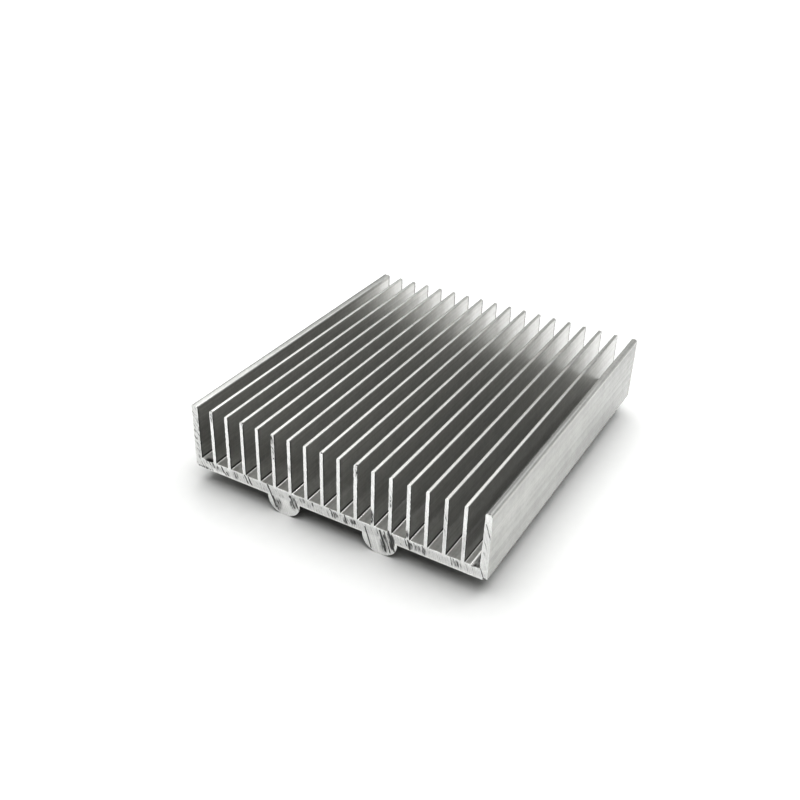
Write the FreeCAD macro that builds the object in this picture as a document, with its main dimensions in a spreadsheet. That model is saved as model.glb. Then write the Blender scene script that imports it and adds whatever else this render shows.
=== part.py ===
import FreeCAD, Part
import math
import os

import Sketcher
from FreeCAD import Vector

# One piece of extruded aluminium heat sink, sawn to length. Lengths are in millimetres.
# X runs across the fins, Y along the extrusion and Z up. The origin is the middle of the
# footprint, level with the crests of the ribs that the piece stands on.

NODE = "heat_sink"

# Alias, value and meaning of each driving dimension
SIZES = [
    ("cut_length", 100.0, "length sawn off the extrusion"),
    ("channel_count", 17, "air channels, one more than the thin fins"),
    ("channel_width", 4.0, "clear gap between neighbouring fins"),
    ("fin_thickness", 1.0, "thickness of a thin fin"),
    ("fin_height", 16.5, "from the channel floor to the fin tips"),
    ("fin_tip_radius", 0.3, "round along both edges of a thin fin's tip"),
    ("wall_thickness", 2.1, "thickness of each outer wall"),
    ("wall_tip_radius", 0.85, "round along both edges of an outer wall's tip"),
    ("root_radius", 0.4, "fillet between a channel floor and its fins"),
    ("base_thickness", 3.1, "from the underside to the channel floor"),
    ("lower_corner_radius", 0.9, "round where an outer wall meets the underside"),
    ("rib_count", 2, "ribs under the base"),
    ("rib_spacing", 29.3, "from one rib's middle to the next"),
    ("rib_width", 10.2, "across a rib at the underside"),
    ("rib_depth", 4.75, "from the underside to a rib's crest"),
    ("rib_round_radius", 4.5, "round from a rib's flank to its crest"),
]

# Levels and spacings worked out from the driving dimensions
DERIVED = [
    ("pitch", "=channel_width + fin_thickness", "from one channel to the next"),
    ("channel_band", "=channel_count * pitch - fin_thickness", "across all the channels"),
    ("overall_width", "=channel_band + 2 * wall_thickness", "across both outer walls"),
    ("blank_height", "=base_thickness + fin_height", "from the underside to the fin tips"),
    ("tip_level", "=rib_depth + blank_height", "height of the fin tips"),
    ("mouth_level", "=tip_level + channel_width", "top of the channel outline, clear of the tips"),
    ("channel_depth", "=fin_height + channel_width", "height of the channel outline"),
    ("rib_band", "=(rib_count - 1) * rib_spacing + rib_width", "across all the ribs"),
]

# A round takes at most this share of the room that its wall leaves it
ROUND_SHARE = 0.95

# Two heights closer than this are the same height
TOLERANCE = 1e-4

# Where a sketch's line or arc has its ends
START = 1
END = 2
SKETCH_ORIGIN = (-1, START)


def make_sheet(doc):
    """Write every size into the sheet, under its alias."""
    sheet = doc.addObject("Spreadsheet::Sheet", "sizes")
    for row, (alias, value, meaning) in enumerate(SIZES + DERIVED, start=1):
        sheet.set(f"A{row}", alias)
        sheet.set(f"B{row}", str(value))
        sheet.set(f"C{row}", meaning)
        sheet.setAlias(f"B{row}", alias)
    doc.recompute()
    return sheet


def limited_round(radius, *rooms):
    """Expression for a round that stays within the room that its walls leave."""
    limits = "; ".join(f"{ROUND_SHARE} * {room}" for room in rooms)
    return f"min({radius}; {limits})"


def origin_feature(body, role):
    """The plane or axis of the body's own origin that has this role."""
    return next(item for item in body.Origin.OriginFeatures if item.Role == role)


def section_sketch(body, name):
    """An empty sketch across the extrusion: its X is the part's X and its Y is the part's Z."""
    sketch = body.newObject("Sketcher::SketchObject", name)
    sketch.AttachmentSupport = [(origin_feature(body, "XZ_Plane"), "")]
    sketch.MapMode = "FlatFace"
    return sketch


def quarter_arc(centre_x, centre_y, radius, start_angle):
    """A quarter of a circle, anticlockwise from start_angle."""
    circle = Part.Circle(Vector(centre_x, centre_y), Vector(0, 0, 1), radius)
    return Part.ArcOfCircle(circle, start_angle, start_angle + math.pi / 2)


def segment(x0, y0, x1, y1):
    """A straight line of the sketch."""
    return Part.LineSegment(Vector(x0, y0), Vector(x1, y1))


def add_dimension(sketch, name, expression, kind, *where):
    """Dimension the sketch, and bind the value to an expression on the sheet."""
    value = sketch.evalExpression(expression)
    index = sketch.addConstraint(Sketcher.Constraint(kind, *where, value))
    sketch.renameConstraint(index, name)
    sketch.setExpression(f"Constraints.{name}", expression)


def trough_outline(body, name, reach, width, top, depth, radius):
    """A sketch of an upright box whose two lower corners are round.

    Its left side is reach to the left of the origin. Each size is an expression.
    """
    sketch = section_sketch(body, name)
    left = -sketch.evalExpression(reach)
    right = left + sketch.evalExpression(width)
    upper = sketch.evalExpression(top)
    lower = upper - sketch.evalExpression(depth)
    corner = sketch.evalExpression(radius)

    bottom_line, right_arc, right_line, top_line, left_line, left_arc = sketch.addGeometry([
        segment(left + corner, lower, right - corner, lower),
        quarter_arc(right - corner, lower + corner, corner, -math.pi / 2),
        segment(right, lower + corner, right, upper),
        segment(right, upper, left, upper),
        segment(left, upper, left, lower + corner),
        quarter_arc(left + corner, lower + corner, corner, math.pi),
    ], False)

    for level_line in (bottom_line, top_line):
        sketch.addConstraint(Sketcher.Constraint("Horizontal", level_line))
    for upright_line in (left_line, right_line):
        sketch.addConstraint(Sketcher.Constraint("Vertical", upright_line))
    for kind, first, second in (
        ("Tangent", bottom_line, right_arc),
        ("Tangent", right_arc, right_line),
        ("Coincident", right_line, top_line),
        ("Coincident", top_line, left_line),
        ("Tangent", left_line, left_arc),
        ("Tangent", left_arc, bottom_line),
    ):
        sketch.addConstraint(Sketcher.Constraint(kind, first, END, second, START))
    sketch.addConstraint(Sketcher.Constraint("Equal", left_arc, right_arc))

    add_dimension(sketch, "corner_radius", radius, "Radius", right_arc)
    add_dimension(sketch, "full_width", width, "DistanceX", top_line, END, top_line, START)
    add_dimension(sketch, "left_reach", reach, "DistanceX", top_line, END, *SKETCH_ORIGIN)
    add_dimension(sketch, "top_height", top, "DistanceY", *SKETCH_ORIGIN, top_line, START)
    add_dimension(sketch, "full_depth", depth, "DistanceY", bottom_line, START, top_line, START)
    return sketch


def add_extrusion(body, kind, name, sketch):
    """Pad or pocket the sketch half the cut length each way."""
    feature = body.newObject(kind, name)
    feature.Profile = sketch
    feature.SideType = "Symmetric"
    feature.Refine = True
    feature.setExpression("Length", "sizes.cut_length")
    return feature


def add_row(body, name, original, count, spacing):
    """Repeat a feature across the width, from left to right."""
    row = body.newObject("PartDesign::LinearPattern", name)
    row.Originals = [original]
    row.Direction = (origin_feature(body, "X_Axis"), [""])
    row.Mode = "Spacing"
    row.Refine = True
    row.setExpression("Occurrences", count)
    row.setExpression("Offset", spacing)
    body.Tip = row
    return row


def tip_edges(shape, level, nearest, farthest):
    """Names of the level edges along the extrusion, between two distances from its middle."""
    names = []
    for number, edge in enumerate(shape.Edges, start=1):
        ends = [vertex.Point for vertex in edge.Vertexes]
        if len(ends) != 2 or abs(ends[0].y - ends[1].y) < TOLERANCE:
            continue
        level_with_tips = all(abs(end.z - level) < TOLERANCE for end in ends)
        if level_with_tips and nearest < abs(ends[0].x) < farthest:
            names.append(f"Edge{number}")
    return names


def add_round(body, name, feature, edges, radius):
    """Fillet some edges of a feature with a radius given as an expression."""
    fillet = body.newObject("PartDesign::Fillet", name)
    fillet.Base = (feature, edges)
    fillet.setExpression("Radius", radius)
    body.Tip = fillet
    return fillet


def make_heat_sink(doc, sheet):
    """Base, ribs and walls from solid outlines, channels cut between the fins, then the tip rounds."""
    body = doc.addObject("PartDesign::Body", "HeatSink")
    body.Label = NODE

    blank_outline = trough_outline(
        body, "blank_outline",
        reach="sizes.overall_width / 2", width="sizes.overall_width",
        top="sizes.tip_level", depth="sizes.blank_height",
        radius=limited_round("sizes.lower_corner_radius", "sizes.base_thickness"))
    blank = add_extrusion(body, "PartDesign::Pad", "blank", blank_outline)

    rib_outline = trough_outline(
        body, "rib_outline",
        reach="sizes.rib_band / 2", width="sizes.rib_width",
        top="sizes.rib_depth", depth="sizes.rib_depth",
        radius=limited_round("sizes.rib_round_radius", "sizes.rib_depth", "sizes.rib_width / 2"))
    rib = add_extrusion(body, "PartDesign::Pad", "rib", rib_outline)
    ribs = add_row(body, "ribs", rib, "sizes.rib_count", "sizes.rib_spacing")
    doc.recompute()
    uncut_volume = ribs.Shape.Volume

    channel_outline = trough_outline(
        body, "channel_outline",
        reach="sizes.channel_band / 2", width="sizes.channel_width",
        top="sizes.mouth_level", depth="sizes.channel_depth",
        radius=limited_round("sizes.root_radius", "sizes.channel_width / 2"))
    channel = add_extrusion(body, "PartDesign::Pocket", "channel", channel_outline)
    channels = add_row(body, "channels", channel, "sizes.channel_count", "sizes.pitch")
    doc.recompute()
    if channels.Shape.Volume >= uncut_volume:
        raise RuntimeError("the channels cut nothing away")

    tip_level = sheet.get("tip_level")
    last_channel_middle = (sheet.get("channel_band") - sheet.get("channel_width")) / 2
    fin_edges = tip_edges(channels.Shape, tip_level, 0, last_channel_middle)
    fin_tips = add_round(
        body, "fin_tips", channels, fin_edges,
        limited_round("sizes.fin_tip_radius", "sizes.fin_thickness / 2"))
    doc.recompute()

    wall_edges = tip_edges(fin_tips.Shape, tip_level, last_channel_middle, sheet.get("overall_width"))
    add_round(
        body, "wall_tips", fin_tips, wall_edges,
        limited_round("sizes.wall_tip_radius", "sizes.wall_thickness / 2"))
    doc.recompute()
    return body


def check_document(doc):
    """Stop if any object of the document has failed."""
    for item in doc.Objects:
        if "Invalid" in item.State or "Error" in item.State:
            raise RuntimeError(f"{item.Name} has failed: {item.State}")


def export_node(body):
    """Check the node's solid and write it to its own file."""
    shape = body.Shape
    if shape.isNull() or not shape.isValid() or len(shape.Solids) != 1:
        raise RuntimeError(f"{body.Label} is not one valid solid")
    shape.exportStep(os.path.join("parts", f"{body.Label}.step"))
    box = shape.BoundBox
    print(f"{body.Label}: {box.XLength:.3f} x {box.YLength:.3f} x {box.ZLength:.3f} mm, "
          f"{shape.Volume / 1000:.3f} cm3, {len(shape.Faces)} faces")


def main():
    os.makedirs("parts", exist_ok=True)
    doc = FreeCAD.newDocument("HeatSink")
    sheet = make_sheet(doc)
    heat_sink = make_heat_sink(doc, sheet)
    check_document(doc)
    export_node(heat_sink)


main()
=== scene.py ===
"""Extruded aluminium heat sink: one sawn-off piece, dressed for rendering.

X runs across the fins, Y along the extrusion and Z up. The section and its marks are drawn in
millimetres, as points (x, z) across the extrusion, and the mesh is written in metres.
"""

import logging
import math
from dataclasses import dataclass, field
from enum import Enum
from typing import ClassVar

import bpy
from mathutils import Matrix, Vector, geometry, kdtree, noise

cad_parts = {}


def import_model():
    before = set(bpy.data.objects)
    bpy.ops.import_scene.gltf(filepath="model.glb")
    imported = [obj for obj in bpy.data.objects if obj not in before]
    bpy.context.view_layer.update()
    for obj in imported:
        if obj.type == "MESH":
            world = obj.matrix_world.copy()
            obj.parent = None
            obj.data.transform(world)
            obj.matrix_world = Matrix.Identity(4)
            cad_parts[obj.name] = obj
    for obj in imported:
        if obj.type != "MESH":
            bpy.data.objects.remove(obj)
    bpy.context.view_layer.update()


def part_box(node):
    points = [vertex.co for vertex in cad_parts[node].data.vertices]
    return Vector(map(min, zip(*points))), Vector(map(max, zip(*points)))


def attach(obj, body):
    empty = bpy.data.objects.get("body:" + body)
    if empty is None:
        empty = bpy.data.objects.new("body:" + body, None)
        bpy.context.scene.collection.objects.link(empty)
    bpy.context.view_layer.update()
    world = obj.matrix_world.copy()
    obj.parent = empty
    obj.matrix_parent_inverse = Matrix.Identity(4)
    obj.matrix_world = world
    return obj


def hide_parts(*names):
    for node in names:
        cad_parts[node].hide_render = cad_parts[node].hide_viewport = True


LOG = logging.getLogger("heat_sink_scene")

MM = 0.001
BODY = "root"
CAD_NODE = "heat_sink"
# Mesh attribute that carries real wear together with painted shade and painted highlight
WEAR_AND_SHADING = "wear_and_shading"
WHITE = (1.0, 1.0, 1.0)
BLACK = (0.0, 0.0, 0.0)

# Distance in the noise from one seed's pattern to the next
SEED_STRIDE = 7.31

# Least part of an outward direction that makes a face level, upright or slanting
LEVEL = 0.5
UPRIGHT = 0.65
SLANTING = 0.2

Point = tuple[float, float]
Span = tuple[float, float]
Place = tuple[float, float, float]
Colour = tuple[float, float, float]
Socket = bpy.types.NodeSocket
Value = Socket | float | Place


class Finish(Enum):
    """Material slots of the extrusion, in the order that its faces use them."""

    MILL = 0
    SAWN = 1


class End(Enum):
    """The two sawn ends, with the side of Y that each is on."""

    NEAR = -1
    FAR = 1


def smooth_step(value: float, low: float, high: float) -> float:
    """Ease from 0 at low to 1 at high.

    Args:
        value: The number to place.
        low: Where the result starts to leave 0.
        high: Where the result reaches 1.

    Returns:
        A number from 0 to 1.
    """
    share = min(max((value - low) / (high - low), 0.0), 1.0)
    return share * share * (3.0 - 2.0 * share)


def add_object(name: str, data: bpy.types.ID) -> bpy.types.Object:
    """Put a mesh, light or camera into the scene.

    Args:
        name: The object's name.
        data: What the object holds.

    Returns:
        The object.
    """
    item = bpy.data.objects.new(name, data)
    bpy.context.scene.collection.objects.link(item)
    return item


def add_mesh(name: str, vertices: list[Place], faces: list[tuple[int, ...]],
             *materials: bpy.types.Material) -> bpy.types.Object:
    """Make a mesh and put it into the scene.

    Args:
        name: Name of the mesh and its object.
        vertices: Its points, in metres.
        faces: Its faces, as numbers of its points.
        materials: Its finishes, in the order of their slots.

    Returns:
        The object.
    """
    mesh = bpy.data.meshes.new(name)
    mesh.from_pydata(vertices, [], faces)
    for material in materials:
        mesh.materials.append(material)
    return add_object(name, mesh)


@dataclass(frozen=True)
class Ripple:
    """Smooth noise of two coordinates, with the lengths of its bumps along both."""

    strength: float
    first_length: float
    second_length: float = 1.0
    pattern: float = 0.0

    def at(self, first: float, second: float, seed: float) -> float:
        """Read the noise at a place.

        Args:
            first: First coordinate.
            second: Second coordinate.
            seed: Picks one of many unlike patterns.

        Returns:
            A number from about minus the strength to the strength.
        """
        return self.strength * noise.noise(Vector((
            first / self.first_length, second / self.second_length,
            (seed + self.pattern) * SEED_STRIDE)))


@dataclass(frozen=True)
class Section:
    """Sizes of the extruded section and of the die's fine marks, in millimetres."""

    channel_count: int = 17
    channel_width: float = 4.0
    fin_thickness: float = 1.0
    fin_height: float = 16.5
    fin_tip_radius: float = 0.3
    wall_thickness: float = 2.1
    wall_outer_radius: float = 0.8
    wall_inner_radius: float = 0.45
    left_outer_radius: float = 0.5
    right_wall_lean: float = 0.35
    root_radius: float = 0.4
    base_thickness: float = 3.1
    lower_corner_radius: float = 0.6
    rib_spacing: float = 29.3
    rib_width: float = 10.2
    rib_depth: float = 4.75
    rib_round_radius: float = 4.5
    die_step_place: float = 1.65
    die_step_height: float = 0.1
    die_step_run: float = 0.2
    die_lines: tuple[float, ...] = (10.4, 14.6, 19.1, 20.1, 22.4)
    die_line_half_width: float = 0.14
    die_line_depth: float = 0.02

    @property
    def pitch(self) -> float:
        """Distance from one thin fin to the next."""
        return self.channel_width + self.fin_thickness

    @property
    def half_width(self) -> float:
        """From the middle to the outer face of a wall."""
        return (self.channel_count * self.pitch - self.fin_thickness) / 2 + self.wall_thickness

    @property
    def wall_middle(self) -> float:
        """From the middle of the section to the middle of a wall."""
        return self.half_width - self.wall_thickness / 2

    @property
    def floor_level(self) -> float:
        """Height of the channel floors."""
        return self.rib_depth + self.base_thickness

    @property
    def tip_level(self) -> float:
        """Height of the fin tips."""
        return self.floor_level + self.fin_height

    @property
    def first_channel(self) -> float:
        """Left side of the leftmost channel."""
        return -self.half_width + self.wall_thickness

    @property
    def last_channel(self) -> float:
        """Left side of the rightmost channel."""
        return self.first_channel + (self.channel_count - 1) * self.pitch


@dataclass
class Outline:
    """Traces the section in short steps, anticlockwise as seen from the near end."""

    section: Section
    spacing: float = 0.3
    arc_spacing: float = 0.14
    rib_arc_spacing: float = 0.25
    least_arc_steps: int = 4
    points: list[Point] = field(default_factory=list)

    def line_to(self, x: float, z: float) -> None:
        """Draw a straight line to a point.

        Args:
            x: The point's place across the section.
            z: The point's height.
        """
        start_x, start_z = self.points[-1]
        count = max(1, math.ceil(math.hypot(x - start_x, z - start_z) / self.spacing))
        for step in range(1, count + 1):
            share = step / count
            self.points.append((start_x + (x - start_x) * share, start_z + (z - start_z) * share))

    def arc(self, x: float, z: float, radius: float, start: float, sweep: float = 90.0,
            spacing: float | None = None) -> None:
        """Draw an arc.

        Args:
            x: Its centre's place across the section.
            z: Its centre's height.
            radius: Its radius.
            start: Angle of its first point, in degrees.
            sweep: Angle that it turns through, in degrees, anticlockwise if positive.
            spacing: Longest step along it, where that isn't the usual one.
        """
        length = radius * math.radians(abs(sweep))
        count = max(self.least_arc_steps, math.ceil(length / (spacing or self.arc_spacing)))
        for step in range(1, count + 1):
            angle = math.radians(start + sweep * step / count)
            self.points.append((x + radius * math.cos(angle), z + radius * math.sin(angle)))

    def trace(self) -> list[Point]:
        """Trace the whole section.

        Returns:
            Points of the closed outline, with no point given twice.
        """
        part = self.section
        corner = part.lower_corner_radius
        self.points = [(-part.half_width + corner, part.rib_depth)]
        for middle in (-part.rib_spacing / 2, part.rib_spacing / 2):
            self.trace_rib(middle)
        self.line_to(part.half_width - corner, part.rib_depth)
        self.arc(part.half_width - corner, part.rib_depth + corner, corner, -90)
        self.trace_die_lines()
        right = part.half_width
        for channel in reversed(range(part.channel_count)):
            channel_left = part.first_channel + channel * part.pitch
            channel_right = channel_left + part.channel_width
            is_last = channel == part.channel_count - 1
            if is_last:
                self.trace_tip(right, channel_right + part.right_wall_lean,
                               part.wall_outer_radius, part.wall_inner_radius)
            else:
                self.trace_tip(right, channel_right, part.fin_tip_radius, part.fin_tip_radius)
            self.trace_floor(channel_left, channel_right, is_last)
            right = channel_left
        self.trace_tip(right, -part.half_width, part.wall_inner_radius, part.left_outer_radius)
        self.line_to(-part.half_width, part.rib_depth + corner)
        self.arc(-part.half_width + corner, part.rib_depth + corner, corner, 180)
        return self.points[:-1]

    def trace_rib(self, middle: float) -> None:
        """Trace one rib, from its left flank over its crest to its right flank.

        Args:
            middle: The rib's place across the section.
        """
        part = self.section
        radius = part.rib_round_radius
        left = middle - part.rib_width / 2
        right = middle + part.rib_width / 2
        self.line_to(left, part.rib_depth)
        self.line_to(left, radius)
        self.arc(left + radius, radius, radius, 180, spacing=self.rib_arc_spacing)
        self.line_to(right - radius, 0.0)
        self.arc(right - radius, radius, radius, -90, spacing=self.rib_arc_spacing)
        self.line_to(right, part.rib_depth)

    def trace_die_lines(self) -> None:
        """Trace the shallow lines that the die drew along the right wall."""
        part = self.section
        for level in part.die_lines:
            self.line_to(part.half_width, level - part.die_line_half_width)
            self.line_to(part.half_width - part.die_line_depth, level)
            self.line_to(part.half_width, level + part.die_line_half_width)

    def trace_tip(self, right: float, left: float, right_radius: float,
                  left_radius: float) -> None:
        """Trace a fin or wall from its right side over its tip, to the start of its left side.

        Args:
            right: Its right side.
            left: Its left side.
            right_radius: Round of the tip's right edge.
            left_radius: Round of the tip's left edge.
        """
        top = self.section.tip_level
        self.line_to(right, top - right_radius)
        self.arc(right - right_radius, top - right_radius, right_radius, 0)
        self.line_to(left + left_radius, top)
        self.arc(left + left_radius, top - left_radius, left_radius, 90)

    def trace_floor(self, left: float, right: float, stepped: bool) -> None:
        """Trace a channel from its right side over its floor, to the start of its left side.

        Args:
            left: The channel's left side.
            right: The channel's right side.
            stepped: Whether the die left a step along the floor.
        """
        part = self.section
        radius = part.root_radius
        level = part.floor_level
        self.line_to(right, level + radius)
        self.arc(right - radius, level + radius, radius, 0, -90)
        if stepped:
            place = left + part.die_step_place
            self.line_to(place + part.die_step_run, level)
            level += part.die_step_height
            radius -= part.die_step_height
            self.line_to(place, level)
        self.line_to(left + radius, level)
        self.arc(left + radius, level + radius, radius, -90, -90)


@dataclass(frozen=True)
class Spot:
    """An ellipse on a face: along is the height on a sawn face, and Y on a channel floor."""

    x: float
    along: float
    reach_x: float
    reach_along: float
    core: ClassVar[float] = 0.4
    rim: ClassVar[float] = 1.0

    def share(self, x: float, along: float) -> float:
        """How far inside the spot a point is, from 0 outside its rim to 1 in its core."""
        away = math.hypot((x - self.x) / self.reach_x, (along - self.along) / self.reach_along)
        return 1.0 - smooth_step(away, self.core, self.rim)


@dataclass(frozen=True)
class Tear(Spot):
    """A patch where the saw tore the metal; a few broad ones are painted shade."""

    strength: float
    core: ClassVar[float] = 0.55
    rim: ClassVar[float] = 1.15


@dataclass(frozen=True)
class Chip(Spot):
    """A nick in an edge of a sawn face."""

    depth: float
    core: ClassVar[float] = 0.35


@dataclass(frozen=True)
class FloorDent(Spot):
    """A rounded dent in a channel floor beside the sawn end, and how dark it is painted."""

    depth: float
    dark: float


@dataclass(frozen=True)
class Groove:
    """A deep tooth mark that follows the blade's arc through a point."""

    x: float
    z_high: float
    z_low: float
    width: float
    dark: float
    core: ClassVar[float] = 0.4
    rim: ClassVar[float] = 1.25
    overrun: ClassVar[float] = 0.3
    foot_fade: ClassVar[float] = 0.5
    head_fade: ClassVar[float] = 0.1

    def fade(self, z: float) -> float:
        """How much of the mark is felt at a height, from 0 past its ends to 1.

        Args:
            z: The height.

        Returns:
            A number from 0 to 1.
        """
        if not self.z_low - self.overrun < z < self.z_high + self.overrun:
            return 0.0
        foot = smooth_step(z, self.z_low - self.overrun, self.z_low + self.foot_fade)
        head = smooth_step(z, self.z_high - self.head_fade, self.z_high + self.overrun)
        return foot * (1.0 - head)


@dataclass(frozen=True)
class Seam:
    """A line where the cut's level drops, from its top to its foot."""

    top: Point
    foot: Point
    drop: float
    half_width: float = 0.13
    reach: float = 0.9

    def side(self, x: float, z: float) -> float:
        """Distance to the right of the line."""
        run, rise = self.foot[0] - self.top[0], self.foot[1] - self.top[1]
        return ((x - self.top[0]) * -rise + (z - self.top[1]) * run) / math.hypot(run, rise)

    def fade(self, z: float) -> float:
        """How much of the line is felt at a height."""
        return 1.0 - smooth_step(z, self.top[1], self.top[1] + self.reach)

    def place(self, share: float, side: float) -> Point:
        """Find a point along the line.

        Args:
            share: How far down the line it is, from 0 to 1.
            side: How far it is to one side.

        Returns:
            The point.
        """
        run, rise = self.foot[0] - self.top[0], self.foot[1] - self.top[1]
        length = math.hypot(run, rise)
        return (self.top[0] + run * share - side * rise / length,
                self.top[1] + rise * share + side * run / length)


@dataclass(frozen=True)
class SawCut:
    """The marks that the saw left on one end: arcs about the blade's hub, tears and nicks, with
    painted shade as broad patches or an even darkening.
    """

    seed: float
    tears: tuple[Tear, ...]
    grooves: tuple[Groove, ...]
    chips: tuple[Chip, ...]
    seams: tuple[Seam, ...] = ()
    blade: Point = (-140.0, -46.0)
    # Even darkening of the whole face: painted shade
    dull: float = 0.0
    chip_dark: float = 0.9
    feed_spacing: float = 0.75
    feed_depth: float = 0.012
    feed_least: float = 0.6
    feed_swell: Ripple = Ripple(0.4, 2.0, pattern=4.0)
    feed_wander: Ripple = Ripple(0.6, 3.0, 9.0, 3.0)
    tear_depth: float = 0.13
    tear_base: float = 0.08
    tear_streaks: tuple[Ripple, ...] = (Ripple(1.0, 0.5, 1.9), Ripple(0.5, 0.3, 0.9, 1.0))
    streak_span: Span = (-0.4, 0.5)
    smooth_tear: float = 0.28
    sway_depth: float = 0.02
    sway: Ripple = Ripple(0.5, 9.0, 6.0, 5.0)
    seam_depth_share: float = 0.5
    groove_wobble: Ripple = Ripple(0.07, 0.7)
    groove_step: float = 0.15
    chip_step: float = 0.1

    def radius(self, x: float, z: float) -> float:
        """Distance from the blade's hub."""
        return math.hypot(x - self.blade[0], z - self.blade[1])

    def patch(self, x: float, z: float) -> float:
        """How far inside a torn patch a point is, from 0 to 1."""
        return max((tear.strength * tear.share(x, z) for tear in self.tears), default=0.0)

    def groove_reach(self, groove: Groove, z: float) -> float:
        """How far from the hub a tooth mark is at a height, as it strays a little from its arc."""
        wobble = self.groove_wobble.at(z, groove.x, self.seed)
        return self.radius(groove.x, groove.z_high) + wobble

    def groove_share(self, x: float, z: float) -> float:
        """How deep in a tooth mark a point of the face is.

        Args:
            x: Place of the point across the section.
            z: Height of the point.

        Returns:
            A number from 0 to 1.
        """
        deepest = 0.0
        radius = self.radius(x, z)
        for groove in self.grooves:
            fade = groove.fade(z)
            if fade > 0.0:
                away = abs(radius - self.groove_reach(groove, z))
                mark = 1.0 - smooth_step(away, groove.core * groove.width, groove.rim * groove.width)
                deepest = max(deepest, groove.dark * mark * fade)
        return deepest

    def seam_share(self, x: float, z: float) -> float:
        """How near to a seam's line a point is, from 0 to 1."""
        return max((seam.fade(z) * (1.0 - smooth_step(abs(seam.side(x, z)), 0.0, seam.half_width))
                    for seam in self.seams), default=0.0)

    def wear_and_shading(self, x: float, z: float) -> float:
        """How worn, torn or darkened with painted shade the face is, for its finish.

        Args:
            x: Place of the point across the section.
            z: Height of the point.

        Returns:
            A number from 0, clean, to 1.
        """
        nick = max((chip.share(x, z) for chip in self.chips), default=0.0)
        return min(1.0, max(self.dull, self.patch(x, z), self.groove_share(x, z),
                            self.seam_share(x, z), self.chip_dark * nick))

    def relief(self, x: float, z: float) -> float:
        """Depth of the sawn face behind its flat plane.

        Args:
            x: Place of the point across the section.
            z: Height of the point.

        Returns:
            The depth, in millimetres.
        """
        radius = self.radius(x, z)
        along = math.atan2(z - self.blade[1], x - self.blade[0]) * radius
        wander = self.feed_wander.at(radius, along, self.seed)
        feed = 0.5 + 0.5 * math.sin(2 * math.pi * (radius / self.feed_spacing + wander))
        feed *= self.feed_least + self.feed_swell.at(radius, 0.0, self.seed)
        streak = sum(ripple.at(radius, along, self.seed) for ripple in self.tear_streaks)
        torn = max(0.0, self.patch(x, z) - self.smooth_tear)
        torn *= smooth_step(streak, *self.streak_span)
        depth = self.feed_depth * feed + self.tear_depth * torn + self.tear_base
        depth += self.sway_depth * (0.5 + self.sway.at(x, z, self.seed))
        depth += self.tear_depth * self.groove_share(x, z)
        depth += self.seam_depth_share * self.tear_depth * self.seam_share(x, z)
        for seam in self.seams:
            drop = smooth_step(seam.side(x, z), -seam.half_width, seam.half_width)
            depth += seam.drop * seam.fade(z) * drop
        return depth + sum(chip.depth * chip.share(x, z) for chip in self.chips)

    def mark_places(self) -> list[Point]:
        """Places that the mesh needs along the tooth marks and seams, and in the nicks.

        Returns:
            Points on the sawn face, some of them perhaps outside the metal.
        """
        places: list[Point] = []
        for groove in self.grooves:
            count = math.ceil((groove.z_high - groove.z_low) / self.groove_step)
            for step in range(count + 1):
                z = groove.z_low + (groove.z_high - groove.z_low) * step / count
                rise = z - self.blade[1]
                for side in (-groove.rim, -groove.core, groove.core, groove.rim):
                    reach = self.groove_reach(groove, z) + side * groove.width
                    places.append((self.blade[0] + math.sqrt(reach * reach - rise * rise), z))
        for seam in self.seams:
            count = math.ceil(math.dist(seam.top, seam.foot) / self.groove_step)
            for step in range(count + 1):
                places += [seam.place(step / count, side * seam.half_width) for side in (-1, 0, 1)]
        for chip in self.chips:
            columns = math.ceil(chip.reach_x / self.chip_step)
            rows = math.ceil(chip.reach_along / self.chip_step)
            places += [(chip.x + column * self.chip_step, chip.along + row * self.chip_step)
                       for column in range(-columns, columns + 1)
                       for row in range(-rows, rows + 1)]
        return places


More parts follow.
